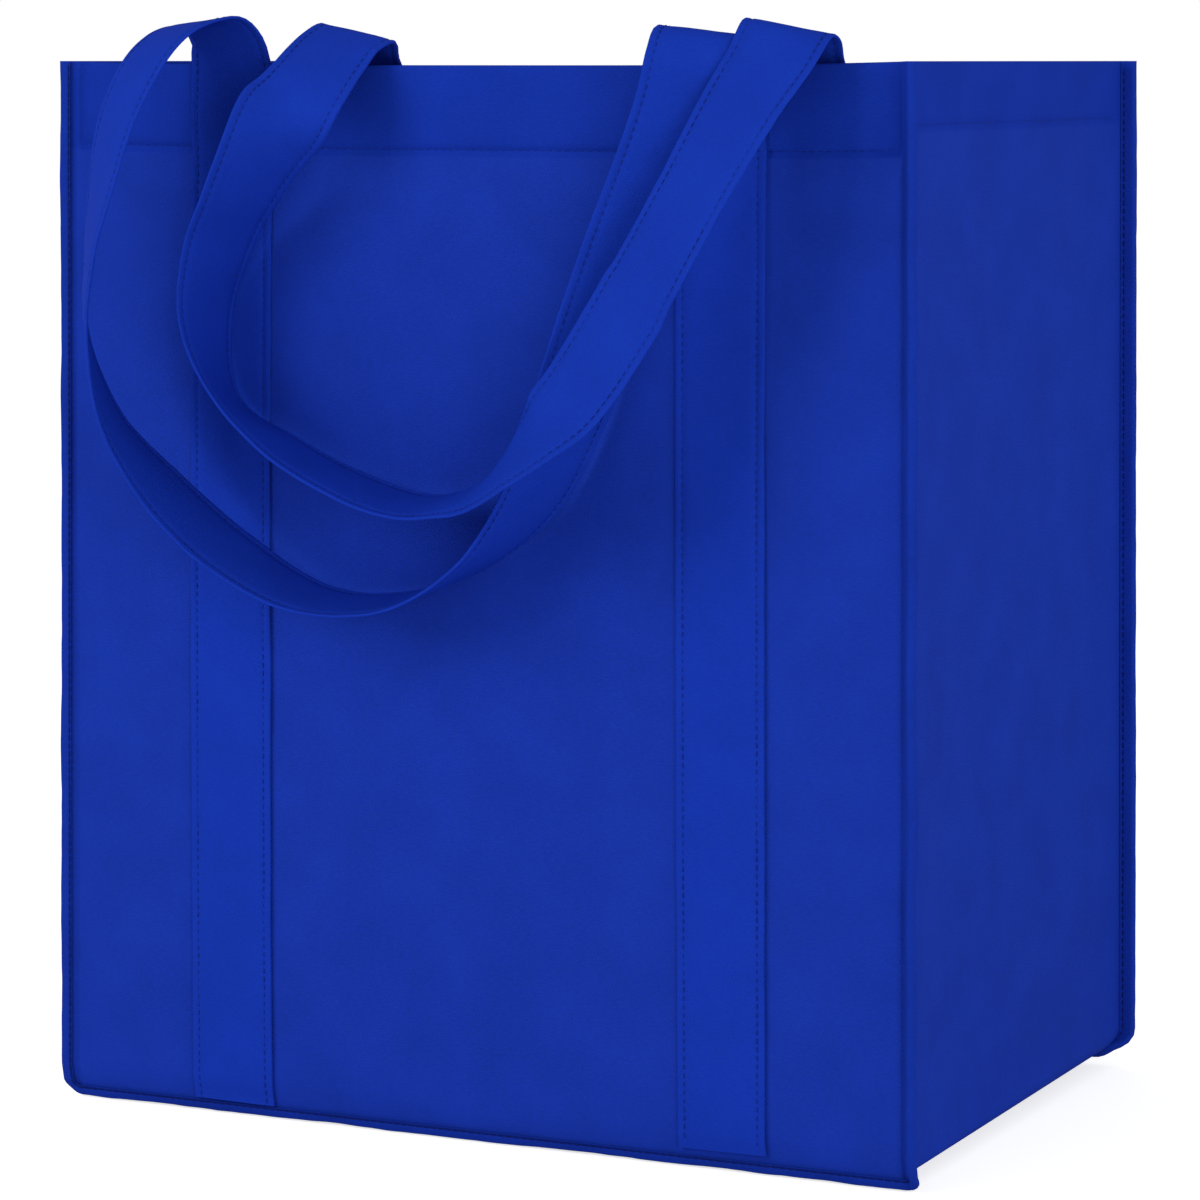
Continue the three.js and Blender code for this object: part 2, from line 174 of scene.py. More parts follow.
def panel_relief(x, z, droop, seed):
    """How far the cloth of a panel stands out from its smooth face"""
    top = top_edge(x, droop)
    stitch = top - FRONT_HEM
    free = 1 - 0.7 * under_strap(x)
    soft = 0.7 * wave(x, z, seed, 95) + 0.35 * wave(x, z * 0.6, seed + 1, 42)
    pucker = 0.35 * wave(x, 0, seed + 2, 9) * math.exp(-abs(z - stitch) / 7)
    hem = 0.35 * ease(z, stitch, stitch + 5) - 0.55 * dip(z, stitch, 2.0)
    hem -= 0.5 * ease(z, stitch - 16, stitch - 2) * (1 - ease(z, stitch, stitch + 1))
    corner = ease(abs(x), 147, 160) * (1 - ease(abs(x), 161, 164.3)) * ease(z, stitch - 5, stitch + 2)
    seam = 0.6 * dip(abs(x), HALF_WIDTH - 0.9, 1.3)
    strap_press = -0.25 * dip(abs(abs(x) - STRAP_SPACING / 2), STRAP_WIDTH / 2 + 1, 3)
    edge = 1 - ease(abs(x), HALF_WIDTH - 9, HALF_WIDTH - 1)
    low = ease(z, FLOOR_LIFT, FLOOR_LIFT + 12)
    dents = edge * low * (free * (soft + pucker) + hem + strap_press)
    return dents - (3.2 if x > 0 else 1.8) * corner - seam


def side_relief(y, z, seed):
    """The same for a side wall, where y runs across it"""
    stitch = HEIGHT - SIDE_HEM
    soft = 0.8 * wave(y, z, seed, 80) + 0.4 * wave(y, z * 0.5, seed + 1, 34)
    pucker = 0.35 * wave(y, 0, seed + 2, 9) * math.exp(-abs(z - stitch) / 6)
    hem = 0.35 * ease(z, stitch, stitch + 4) - 0.7 * dip(z, stitch, 1.5)
    edge = 1 - ease(abs(y), BAND_HALF_DEPTH - 9, BAND_HALF_DEPTH - 2)
    low = ease(z, FLOOR_LIFT + BACK_CORNER, FLOOR_LIFT + 30)
    return edge * low * (soft + pucker + hem)


def press_near_fin(x, depth, z, front):
    """The fin of the near upright seam is bent to the front"""
    share = np.clip((z - FLOOR_LIFT) / (HEIGHT - FLOOR_LIFT), 0, 1)
    root, middle = HALF_WIDTH - TOP_TAPER * share, SEAM_MIDDLE - TOP_TAPER_DEPTH * share
    fin = front & (x > root) & (depth > HALF_DEPTH - 6)
    angle = math.radians(NEAR_FIN_BEND) * smooth(z, -14, 6) * smooth(x - root, 0, 3)
    out, off = x - root, depth - middle
    bent_x = root + out * np.cos(angle) - off * np.sin(angle)
    bent_depth = middle + off * np.cos(angle) + out * np.sin(angle)
    return np.where(fin, bent_x, x), np.where(fin, bent_depth, depth)


def settle(points):
    """The weight of the bag: its bottom seams are drawn in a little, lean under it at the front and
    curl right under it at the rear corners"""
    x, y, z = np.asarray(points, float).T
    side = np.where(y < 0, -1, 1)
    x, depth = press_near_fin(x, np.abs(y), z, y < 0)
    radius = np.where(y < 0, FRONT_CORNER, BACK_CORNER)
    past = np.clip(np.abs(x) - (HALF_WIDTH - radius), 0, None)
    down = FLOOR_LIFT + radius - z
    reach = np.hypot(past, down)
    out = np.where((down > 0) & (depth > HALF_DEPTH - 5), reach - radius, 0)
    downward = np.clip(down / np.maximum(reach, 0.01), 0, 1)
    back_lean = BACK_FIN_LEAN + BACK_CORNER_CURL * smooth(np.abs(x), 95, 142)
    turn = np.where(y < 0, FRONT_FIN_LEAN, back_lean) * smooth(downward, 0.1, 0.8)
    angle = np.radians(turn) * smooth(out, 0, 1.2)
    off = depth - SEAM_MIDDLE
    further = np.where(out > 0, out * np.cos(angle) + off * np.sin(angle) - out, 0)
    depth = np.where(out > 0, SEAM_MIDDLE + off * np.cos(angle) - out * np.sin(angle), depth)
    near_floor = 1 - smooth(z, FLOOR_LIFT, FLOOR_LIFT + 8)
    tuck = BOTTOM_TUCK * near_floor * smooth(depth, HALF_DEPTH - 16, HALF_DEPTH - 4)
    x = x + np.sign(x) * further * past / np.maximum(reach, 0.01)
    return np.stack([x, side * (depth - tuck), z - further * downward], 1)


# Meshes
def finish_piece(name, vertices, faces, uvs, materials, sharp=40, marks=None):
    """Links a mesh whose vertices are in millimetres. uvs has one pair for each corner of each face,
    marks the number of the material of each face."""
    mesh = bpy.data.meshes.new(name)
    mesh.from_pydata((settle(vertices) * MM + np.array(MIDDLE)).tolist(), [], faces)
    if uvs is not None:
        layer = mesh.uv_layers.new(name="cloth")
        layer.uv.foreach_set("vector", (np.asarray(uvs, np.float32) * MM).ravel())
    mesh.shade_smooth()
    mesh.set_sharp_from_angle(angle=math.radians(sharp))
    for material in materials:
        mesh.materials.append(material)
    if marks is not None:
        mesh.polygons.foreach_set("material_index", np.asarray(marks, np.int32))
    piece = bpy.data.objects.new(name, mesh)
    bpy.context.collection.objects.link(piece)
    return piece


def loft(name, rings, along, across, materials, hem=0):
    """Closed tube through rings of points. along has a length for each ring, across one for each
    point of a ring and one more for the way back to the first. hem is the number of rows of faces at
    each end that get the second material."""
    rings = np.asarray(rings, float)
    rows, count, _ = rings.shape
    faces, uvs, marks = [], [], []
    for r in range(rows - 1):
        for p in range(count):
            q = (p + 1) % count
            faces.append((r * count + p, r * count + q, (r + 1) * count + q, (r + 1) * count + p))
            marks.append(int(min(r, rows - 2 - r) < hem))
            low, high = across[p], across[p + 1]
            uvs += [(low, along[r]), (high, along[r]), (high, along[r + 1]), (low, along[r + 1])]
    for row, order in ((0, range(count - 1, -1, -1)), (rows - 1, range(count))):
        faces.append(tuple(row * count + p for p in order))
        marks.append(int(hem > 0))
        uvs += [(across[p], along[row]) for p in order]
    return finish_piece(name, rings.reshape(-1, 3), faces, uvs, materials, marks=marks)


def sheet(name, outer, inner, u, v, materials, hem_from):
    """Closed sheet between two grids of points, rows by columns, with u and v in millimetres. The
    second material begins at the row hem_from."""
    rows, columns, _ = outer.shape
    under = rows * columns
    faces, uvs, marks = [], [], []

    def corner(i):
        r, c = divmod(i % under, columns)
        return (u[c], v[r])

    def add(*corners):
        faces.append(corners)
        uvs.extend(corner(i) for i in corners)
        marks.append(int(min(i % under for i in corners) // columns >= hem_from))

    for r in range(rows - 1):
        for c in range(columns - 1):
            i = r * columns + c
            j = i + columns
            add(i, i + 1, j + 1, j)
            add(under + i, under + j, under + j + 1, under + i + 1)
    rim = list(range(columns - 1))
    rim += [r * columns + columns - 1 for r in range(rows - 1)]
    rim += [(rows - 1) * columns + c for c in range(columns - 1, 0, -1)]
    rim += [r * columns for r in range(rows - 1, 0, -1)]
    for n, i in enumerate(rim):
        j = rim[(n + 1) % len(rim)]
        add(i, under + i, under + j, j)
    points = np.concatenate([outer.reshape(-1, 3), inner.reshape(-1, 3)])
    return finish_piece(name, points, faces, uvs, materials, marks=marks)


def lengths(points):
    """Distance along a row of points"""
    steps = np.linalg.norm(np.diff(np.asarray(points, float), axis=0), axis=1)
    return np.concatenate([[0.0], np.cumsum(steps)])


# Front and back panels
def panel_columns(radius):
    edge = HALF_WIDTH + SEAM_ALLOWANCE
    hem_end = HALF_WIDTH - 2 * CLOTH - 4 * GAP
    fin = [edge - radius + radius * math.cos(i * math.pi / 16) for i in range(9)]
    middle = np.linspace(0, hem_end - CLOTH, 56)
    seam = np.linspace(hem_end + 0.7, HALF_WIDTH + 0.6, 5)
    right = sorted({round(x, 4) for x in [*fin, hem_end, *middle, *seam]})
    return [-x for x in right[:0:-1]] + right, hem_end


def panel(name, side, droop, seed, materials):
    """side is -1 for the front and 1 for the back. The top hem is turned to the inside."""
    radius = (FRONT_CORNER if side < 0 else BACK_CORNER) + SEAM_ALLOWANCE
    columns, hem_end = panel_columns(radius)
    edge = HALF_WIDTH + SEAM_ALLOWANCE
    outer, inner, heights = [], [], []
    for x in columns:
        past = max(abs(x) - (edge - radius), 0)
        bottom = GAP + TAPE + radius - math.sqrt(max(radius**2 - past**2, 0))
        top = top_edge(x, droop)
        tuck = top - FRONT_HEM - HEM_TUCK
        doubled = abs(x) < hem_end - CLOTH / 2
        zs = list(np.linspace(bottom, tuck - 0.3, PANEL_ROWS))
        zs += [tuck + d for d in (0, 1.2, 1.9, 2.5, 3.1, 3.8, 5)]
        zs += list(np.linspace(tuck + 7.5, top - 2.5, 9))
        turn = CLOTH * (1 if doubled else 0.5)
        zs += [top - turn * (1 - math.sin(math.radians(a))) for a in (0, 30, 60, 90)]
        column_out, column_in = [], []
        for z in zs:
            thickness = CLOTH * (2 if doubled and z >= tuck else 1)
            half = thickness / 2
            from_top = max(turn - (top - z), 0) if z > top - turn else 0
            pinch = half - math.sqrt(max(half**2 - (from_top * half / turn) ** 2, 0))
            face = panel_face(x, z) + panel_relief(x, z, droop, seed)
            px = drawn_in(x, z)
            column_out.append((px, side * (face - pinch), z))
            column_in.append((px, side * (face - thickness + pinch), z))
        outer.append(column_out)
        inner.append(column_in)
        heights = zs if x == 0 else heights
    outer = np.array(outer).transpose(1, 0, 2)
    inner = np.array(inner).transpose(1, 0, 2)
    if side > 0:
        outer, inner = outer[:, ::-1], inner[:, ::-1]
    return sheet(name, outer, inner, columns, heights, materials, PANEL_ROWS)


# Seam round the left side, the bottom and the right side
def seam_path(side_heights, bottom_count, radius):
    stops = []
    corner = HALF_WIDTH - radius
    for z in side_heights:
        stops.append((-HALF_WIDTH, z, -1.0, 0.0))
    for i in range(9):
        angle = i * math.pi / 16
        out_x, out_z = -math.cos(angle), -math.sin(angle)
        stops.append((-corner + out_x * radius, FLOOR_LIFT + radius + out_z * radius, out_x, out_z))
    for share in np.linspace(-1, 0, bottom_count + 1)[1:]:
        stops.append((share * corner, FLOOR_LIFT, 0.0, -1.0))
    mirrored = [(-x, z, -ox, oz) for x, z, ox, oz in stops[-2::-1]]
    return stops + mirrored


def on_seam(stop, out, depth):
    """Point of a profile swept along the seam: away from the body and along the depth"""
    x0, z0, out_x, out_z = stop
    z = z0 + out_z * out
    share = min(abs(depth) / BAND_HALF_DEPTH, 1)
    depth += math.copysign(1, depth) * lean(TOP_TAPER_DEPTH, z) * share
    return (drawn_in(x0 + out_x * out, z), depth, z)


def between(front, back, depth):
    """Stop of the seam path at a depth between its two ends, which have corners of their own"""
    share = clamp(0.5 + depth / (2 * BAND_HALF_DEPTH))
    return tuple(a + (b - a) * share for a, b in zip(front, back))


def path_lengths(stops):
    return lengths([(x, 0, z) for x, z, _, _ in stops])


# Gusset band with flanges turned outwards for the seams and a hem turned inwards at both ends
def side_heights():
    tuck = HEIGHT - SIDE_HEM - HEM_TUCK
    heights = [HEIGHT - CLOTH * (1 - math.sin(math.radians(a))) for a in (90, 60, 30, 0)]
    heights += list(np.linspace(HEIGHT - 2.5, tuck + 6, 6))
    heights += [tuck + d for d in (4.4, 3.1, 2.5, 1.9, 1.2, 0, -0.3)]
    return heights + list(np.linspace(tuck - 4, FLOOR_LIFT + BACK_CORNER + 2, 78))


def gusset(name, materials):
    half = BAND_HALF_DEPTH
    inset = 2 * CLOTH + GAP
    folds = [(half - inset) * (1 - i / 26) for i in range(53)]
    tuck = HEIGHT - SIDE_HEM - HEM_TUCK
    front, back = (seam_path(side_heights(), 36, radius) for radius in (FRONT_CORNER, BACK_CORNER))
    rings = []
    for front_stop, back_stop in zip(front, back):
        x, z, out_x, _ = back_stop
        upright = abs(out_x) > 0.999
        thickness = CLOTH * (2 if upright and z >= tuck else 1)
        from_top = max(CLOTH - (HEIGHT - z), 0) if upright else 0
        pinch = CLOTH - math.sqrt(max(CLOTH**2 - from_top**2, 0))
        sink = SIDE_SINK * math.sin(math.pi * rise(z)) ** 0.7 if upright else 0
        seed = 20 if x < 0 else 30

        def wall(y):
            relief = side_relief(y, z, seed) if upright else 0
            return relief - sink * (1 - (y / half) ** 2)

        ring = [(-CLOTH, -half), (SEAM_ALLOWANCE, -half), (SEAM_ALLOWANCE, -half + CLOTH), (0, -half + CLOTH)]
        ring += [(wall(y) - pinch, y) for y in folds[::-1]]
        ring += [(0, half - CLOTH), (SEAM_ALLOWANCE, half - CLOTH), (SEAM_ALLOWANCE, half), (-CLOTH, half)]
        ring += [(wall(y) - thickness + pinch, y) for y in folds]
        rings.append([on_seam(between(front_stop, back_stop, depth), out, depth) for out, depth in ring])
    middle = np.array([(0, p[0], p[1]) for p in ring])
    across = list(lengths(np.vstack([middle, middle[:1]])))
    return loft(name, rings, path_lengths(back), across, materials, hem=SIDE_HEM_ROWS)


# Tape folded over the seam allowances of a panel and the gusset
def binding_path(top, side):
    radius = FRONT_CORNER if side < 0 else BACK_CORNER
    return seam_path(list(np.linspace(top, FLOOR_LIFT + radius + 2, SEAM_STOPS)), BOTTOM_STOPS, radius)


def binding(name, side, seed, materials):
    reach = SEAM_ALLOWANCE + GAP
    outer_face, inner_face = HALF_DEPTH + GAP, BAND_HALF_DEPTH - CLOTH - GAP
    start = GAP + TAPE
    stops = binding_path(HEIGHT, side)
    along = path_lengths(stops)
    middle = (outer_face + inner_face) / 2
    half = (outer_face - inner_face) / 2

    def skin(thickness):
        """Folded tape round the allowances, from one free edge over the fold to the other"""
        points = []
        for out in (0, 0.35, 0.7, 1.05, 1.6, 2.5):
            points.append((start + out, half + thickness))
        fold = half + thickness
        turn = reach + thickness - fold * 0.75
        for degrees in range(90, -91, -15):
            a = math.radians(degrees)
            points.append((turn + fold * 0.75 * math.cos(a), fold * math.sin(a)))
        for out in (2.5, 1.6, 1.05, 0.7, 0.35, -0.65):
            points.append((start + out, -half - thickness))
        return points

    rings = []
    for stop, s in zip(stops, along):
        sway = 0.35 * wave(s, 0, seed, 28) + 0.15 * wave(s, 0, seed + 1, 9)
        pull = 0.12 * wave(s, 0, seed + 2, 6)
        ring = []
        for thickness in (TAPE, TAPE_INSIDE):
            points = skin(thickness)
            for out, off in points if thickness == TAPE else points[::-1]:
                groove = (0.4 if off > 0 else 0.1) * dip(out, TAPE_STITCH, 0.6) * (thickness == TAPE)
                off -= math.copysign(groove, off)
                share = clamp((out - start) / (reach - start))
                flare = 0.25 * (1 - share) * (1 + pull)
                depth = middle + off + share * sway
                depth += math.copysign(flare if thickness == TAPE else flare * 0.8, off)
                ring.append(on_seam(stop, out + 0.5 * share * pull, side * depth))
        rings.append(ring)
    if side < 0:
        rings = [ring[::-1] for ring in rings]
    profile = np.array([(0, out, off) for out, off in [*skin(TAPE), *skin(TAPE_INSIDE)[::-1]]])
    across = list(lengths(np.vstack([profile, profile[:1]])))
    return loft(name, rings, along, across, materials)


# Handles. Each row is a station in front of the front panel: x as a share of the bag's width, strap
# widths in front of the panel, share of the loop's drop below the top edge, turn and tilt in degrees.
FRONT_LOOP = [
    [-0.286, 0.11, -0.034, 12, 8],
    [-0.295, 0.28, -0.066, 18, 7],
    [-0.312, 0.56, -0.064, 27, 4],
    [-0.333, 0.88, -0.02, 31, 1],
    [-0.356, 1.2, 0.1, 36, -2],
    [-0.369, 1.34, 0.23, 44, -3],
    [-0.381, 1.39, 0.357, 53, -2],
    [-0.386, 1.38, 0.5, 58, -1],
    [-0.366, 1.23, 0.663, 71, -4],
    [-0.312, 0.98, 0.803, 86, -12],
    [-0.241, 0.78, 0.915, 89, -14],
    [-0.152, 0.62, 0.993, 86, -9],
    [-0.049, 0.54, 0.986, 84, -6],
    [0.038, 0.53, 0.91, 92, 1],
    [0.098, 0.53, 0.798, 105, 8],
    [0.135, 0.5, 0.656, 118, 11],
    [0.167, 0.43, 0.499, 126, 13],
    [0.204, 0.39, 0.333, 135, 15],
    [0.241, 0.39, 0.182, 145, 15],
    [0.267, 0.47, 0.076, 155, 13],
    [0.28, 0.52, -0.004, 163, 9],
    [0.279, 0.32, -0.049, 171, 7],
    [0.281, 0.04, -0.04, 177, 5],
]
BACK_LOOP = [
    [-0.148, -0.39, -0.03, 8, -16],
    [-0.146, -0.24, -0.063, 4, -12],
    [-0.153, 0.02, -0.044, -2, -5],
    [-0.159, 0.29, 0.0, -8, -2],
    [-0.166, 0.54, 0.054, -15, 1],
    [-0.179, 0.76, 0.12, -29, 5],
    [-0.201, 0.84, 0.205, -47, 6],
    [-0.232, 0.79, 0.312, -61, 3],
    [-0.265, 0.66, 0.421, -71, 1],
    [-0.286, 0.59, 0.589, -85, -2],
    [-0.263, 0.64, 0.756, -98, -11],
    [-0.193, 0.65, 0.872, -89, -1],
    [-0.114, 0.69, 0.952, -86, 4],
    [-0.031, 0.76, 0.997, -83, 8],
    [0.05, 1, 0.962, -89, 17],
    [0.124, 1.44, 0.86, -110, 31],
    [0.157, 1.49, 0.8, -128, 36],
    [0.186, 1.37, 0.73, -146, 35],
    [0.239, 1.19, 0.54, -158, 25],
    [0.255, 1.2, 0.481, -156, 18],
    [0.307, 1.03, 0.259, -157, 14],
    [0.342, 0.77, 0.092, -165, 12],
    [0.362, 0.47, -0.01, -174, 11],
    [0.368, 0.2, -0.072, -180, 10],
    [0.367, -0.02, -0.058, -182, 9],
    [0.364, -0.17, -0.018, -183, 9],
]

# The back handle inside the mouth: share of the way to where it comes out, shares of the body's depth
# in front of the back and of the loop's drop below the top edge
MOUTH_RUN = [[0.02, 0.06, 0.16], [0.12, 0.18, 0.26], [0.45, 0.45, 0.31], [0.8, 0.72, 0.25]]


def smooth_row(points, steps, power):
    """Catmull-Rom curve through points: steps stations for each span. power is 0.5 for a curve whose
    speed follows the distance between points and 0 for an even one."""
    points = np.asarray(points, float)
    points = np.vstack([2 * points[0] - points[1], points, 2 * points[-1] - points[-2]])
    row = []
    for i in range(1, len(points) - 2):
        p0, p1, p2, p3 = points[i - 1:i + 3]
        d0, d1, d2 = (max(np.linalg.norm(b - a), 1e-4) ** power for a, b in ((p0, p1), (p1, p2), (p2, p3)))
        t1 = ((p1 - p0) / d0 - (p2 - p0) / (d0 + d1) + (p2 - p1) / d1) * d1
        t2 = ((p2 - p1) / d1 - (p3 - p1) / (d1 + d2) + (p3 - p2) / d2) * d1
        for t in np.arange(steps) / steps:
            c2 = 3 * (p2 - p1) - 2 * t1 - t2
            c3 = 2 * (p1 - p2) + t1 + t2
            row.append(p1 + t1 * t + c2 * t**2 + c3 * t**3)
    return np.array([*row, points[-2]])


def hung(station, drop):
    x, out, down, turn, tilt = station
    yaw, pitch = math.radians(turn), math.radians(tilt)
    z = HEIGHT - down * drop
    middle = (x * WIDTH, -(panel_face(x * WIDTH, z) + out * STRAP_WIDTH), z)
    across = (math.cos(yaw) * math.cos(pitch), -math.sin(yaw) * math.cos(pitch), math.sin(pitch))
    return middle, across


def mouth_stations(from_x, to_x, way):
    stations = []
    for share, back, sag in MOUTH_RUN:
        x = from_x + (to_x - from_x) * share
        stations.append(((x, HALF_DEPTH - back * DEPTH, HEIGHT - sag * BACK_LOOP_DROP), (way, 0, 0)))
    return stations


def strap_top(x, droop):
    return top_edge(abs(x) + STRAP_WIDTH / 2, droop)


def back_fold(x, way):
    top = strap_top(x, BACK_DROOP)
    face = panel_face(x, top)
    off = GAP + STRAP_THICKNESS / 2
    inside = face - 2 * CLOTH
    px = drawn_in(x, top)
    rows = [
        (face + off, top + GAP),
        (face + off * 0.6, top + off * 1.1),
        ((face + inside) / 2, top + off * 1.6),
        (inside - off * 0.8, top + off * 1.1),
        (inside - off * 1.3, top + GAP),
        (inside - off * 2, top - 6 * STRAP_THICKNESS),
    ]
    return [((px, y, z), (way, 0, 0)) for y, z in rows]


def sewn_run(x, side, droop, seed, way):
    """Stations of the part sewn to a panel, which follows the panel's cloth"""
    off = GAP + STRAP_THICKNESS / 2
    run = []
    for z in np.linspace(FLOOR_LIFT - 0.3, strap_top(x, droop) + GAP, 120):
        ends = []
        for px in (x - STRAP_WIDTH / 2, x + STRAP_WIDTH / 2):
            face = panel_face(px, z) + panel_relief(px, z, droop, seed)
            ends.append(np.array([drawn_in(px, z), side * (face + off), z]))
        run.append(((ends[0] + ends[1]) / 2, (ends[1] - ends[0]) / np.linalg.norm(ends[1] - ends[0]) * way))
    return run if way > 0 else run[::-1]


def at_spots(spots, run, values):
    """Rows of three values at some distances along a run"""
    return np.stack([np.interp(spots, run, values[:, k]) for k in range(3)], 1)


def strap_line(up, free, down):
    """Middles and directions across the strap over its whole length, at even distances"""
    free = [up[-1], *free, down[0]]
    middles = smooth_row([m for m, _ in free], 12, 0.5)
    across = smooth_row([a for _, a in free], 12, 0.0)
    middles = np.vstack([[m for m, _ in up[:-1]], middles, [m for m, _ in down[1:]]])
    across = np.vstack([[a for _, a in up[:-1]], across, [a for _, a in down[1:]]])
    run = lengths(middles)
    spots = np.arange(0, run[-1], 2.0)
    return at_spots(spots, run, middles), at_spots(spots, run, across), spots


def strap_frames(middles, across):
    along = np.gradient(middles, axis=0)
    along /= np.linalg.norm(along, axis=1)[:, None]
    across = across - along * (across * along).sum(1)[:, None]
    across /= np.linalg.norm(across, axis=1)[:, None]
    return along, across, np.cross(along, across)


def strap_profile(side):
    """Points across one face of a strap and how far each stands off its middle layer"""
    half = STRAP_WIDTH / 2
    stitch = half - STRAP_STITCH_INSET
    spots = [-half, -half + 0.25, -half + 0.9, -stitch - 0.7, -stitch - 0.3, -stitch + 0.3, -stitch + 0.7]
    spots += list(np.linspace(-stitch + 3, stitch - 3, 7))
    spots += [stitch - 0.7, stitch - 0.3, stitch + 0.3, stitch + 0.7, half - 0.9, half - 0.25, half]
    thick = STRAP_THICKNESS / 2
    points = []
    for u in spots:
        edge = math.sqrt(clamp(1 - (clamp((abs(u) - half + 0.9) / 0.9)) ** 2))
        groove = 0.36 * dip(abs(u), stitch, 0.7)
        crown = 0.12 * (1 - (u / half) ** 2)
        points.append((u, side * (thick * edge - groove + crown * edge)))
    return points


def strap(name, line, seed, materials):
    middles, across, spots = line
    along, across, normal = strap_frames(middles, across)
    top, under = strap_profile(1), strap_profile(-1)
    ring = under[:-1] + top[:0:-1]
    rings = []
    for k, s in enumerate(spots):
        points = []
        for u, off in ring:
            ripple = 0.12 * wave(s, u, seed, 14) + 0.05 * wave(s, u, seed + 1, 5)
            wobble = 0.18 * wave(s, 0, seed + 2, 45) * (1 if u > 0 else -1)
            reach = u + wobble * (abs(u) > STRAP_WIDTH / 2 - 1)
            points.append(middles[k] + across[k] * reach + normal[k] * (off + ripple))
        rings.append(points)
    profile = np.array([(0, u, off) for u, off in ring])
    widths = list(lengths(np.vstack([profile, profile[:1]])))
    return loft(name, rings, spots, widths, materials)


# Sewing thread: one short arched stitch after another along a row
def thread_row(points, normals, length=STITCH_LENGTH):
    """Stitches over a row of points, each a spot on the cloth, with the cloth's normal there"""
    points, normals = np.asarray(points, float), np.asarray(normals, float)
    run = lengths(points)
    stitches = []
    for start in np.arange(0.4, run[-1] - STITCH_PITCH, STITCH_PITCH):
        spots = start + np.array([0.0, 0.22, 0.5, 0.78, 1.0]) * length
        path, up = at_spots(spots, run, points), at_spots(spots, run, normals)
        up /= np.linalg.norm(up, axis=1)[:, None]
        lift = np.array([-0.3, 0.0, 0.08, 0.0, -0.3])[:, None]
        stitches.append((path + up * lift, up))
    return stitches


def thread(name, rows, materials, thick=THREAD):
    vertices, faces = [], []
    sides = 5
    for path, up in (stitch for row in rows for stitch in row):
        along = np.gradient(path, axis=0)
        along /= np.linalg.norm(along, axis=1)[:, None]
        right = np.cross(along, up)
        first = len(vertices)
        for k in range(len(path)):
            for n in range(sides):
                a = 2 * math.pi * n / sides
                vertices.append(path[k] + thick * (right[k] * math.cos(a) + up[k] * math.sin(a)))
        for k in range(len(path) - 1):
            for n in range(sides):
                m = (n + 1) % sides
                low, high = first + k * sides, first + (k + 1) * sides
                faces.append((low + n, low + m, high + m, high + n))
        faces.append(tuple(first + n for n in range(sides - 1, -1, -1)))
        faces.append(tuple(len(vertices) - sides + n for n in range(sides)))
    return finish_piece(name, vertices, faces, None, materials, sharp=60)


def hem_rows(side, droop, seed):
    """Rows of a panel's hem stitch, outside and inside, which stop at the sewn straps"""
    rows = []
    left = STRAP_SPACING / 2 - STRAP_WIDTH / 2
    right = STRAP_SPACING / 2 + STRAP_WIDTH / 2
    for start, end in ((-HEM_STITCH_END, -right), (-left, left), (right, HEM_STITCH_END)):
        xs = np.linspace(start, end, 90)
        spots, inner = [], []
        for x in xs:
            z = top_edge(x, droop) - FRONT_HEM
            face = panel_face(x, z) + panel_relief(x, z, droop, seed)
            px = drawn_in(x, z)
            spots.append((px, side * face, z))
            inner.append((px, side * (face - 2 * CLOTH), z))
        rows.append(thread_row(spots, [(0, side, 0)] * len(xs)))
        rows.append(thread_row(inner, [(0, -side, 0)] * len(xs)))
    return rows


def side_hem_rows(way):
    z = HEIGHT - SIDE_HEM
    ys = np.linspace(-BAND_HALF_DEPTH + 5, BAND_HALF_DEPTH - 5, 90)
    sink = SIDE_SINK * math.sin(math.pi * rise(z)) ** 0.7
    spots, inner = [], []
    for y in ys:
        out = side_relief(y, z, 20 if way < 0 else 30) - sink * (1 - (y / BAND_HALF_DEPTH) ** 2)
        stop = (way * HALF_WIDTH, z, way, 0.0)
        spots.append(on_seam(stop, out, y))
        inner.append(on_seam(stop, out - 2 * CLOTH, y))
    return [thread_row(spots, [(way, 0, 0)] * len(ys)), thread_row(inner, [(-way, 0, 0)] * len(ys))]


def strap_rows(line, sewn):
    """Rows along both edges of a strap: on the outside all the way, inside where it is free of the
    length that is sewn down at both ends"""
    middles, across, spots = line
    along, across, normal = strap_frames(middles, across)
    free = (spots > sewn) & (spots < spots[-1] - sewn)
    rows = []
    for edge in (-1, 1):
        reach = edge * (STRAP_WIDTH / 2 - STRAP_STITCH_INSET)
        for face, part in ((-1, slice(None)), (1, free)):
            spot = middles + across * reach + normal * face * (STRAP_THICKNESS / 2 - THREAD_SINK)
            rows.append(thread_row(spot[part], (normal * face)[part]))
    return rows


# The tape rows sit at the root of the seam fin, where their dark thread paints a shade line.
def binding_rows(side):
    stops = binding_path(HEIGHT - 1, side)
    outer, inner = HALF_DEPTH + GAP + TAPE, BAND_HALF_DEPTH - CLOTH - GAP - TAPE
    rows = []
    for depth, face in ((outer, side), (inner, -side)):
        spots = [on_seam(stop, TAPE_STITCH, side * depth) for stop in stops]
        rows.append(thread_row(spots, [(0, face, 0)] * len(spots), TAPE_STITCH_LENGTH))
    return rows


# Materials
WALL_BLUE = (0.0085, 0.034, 0.352)
HEM_BLUE = (0.0065, 0.0305, 0.34)
STRAP_BLUE = (0.0072, 0.0345, 0.38)
TAPE_BLUE = (0.0065, 0.029, 0.31)
THREAD_BLUE = (0.0045, 0.021, 0.235)
# Very dark thread of the tape rows: the stitching is real, but its dark colour is painted shade along the
# root of the bound seams.
SEAM_SHADE_THREAD_BLUE = (0.002, 0.009, 0.12)
BOARD_BLUE = (0.012, 0.028, 0.19)
CLOTH_ROUGHNESS = 0.82


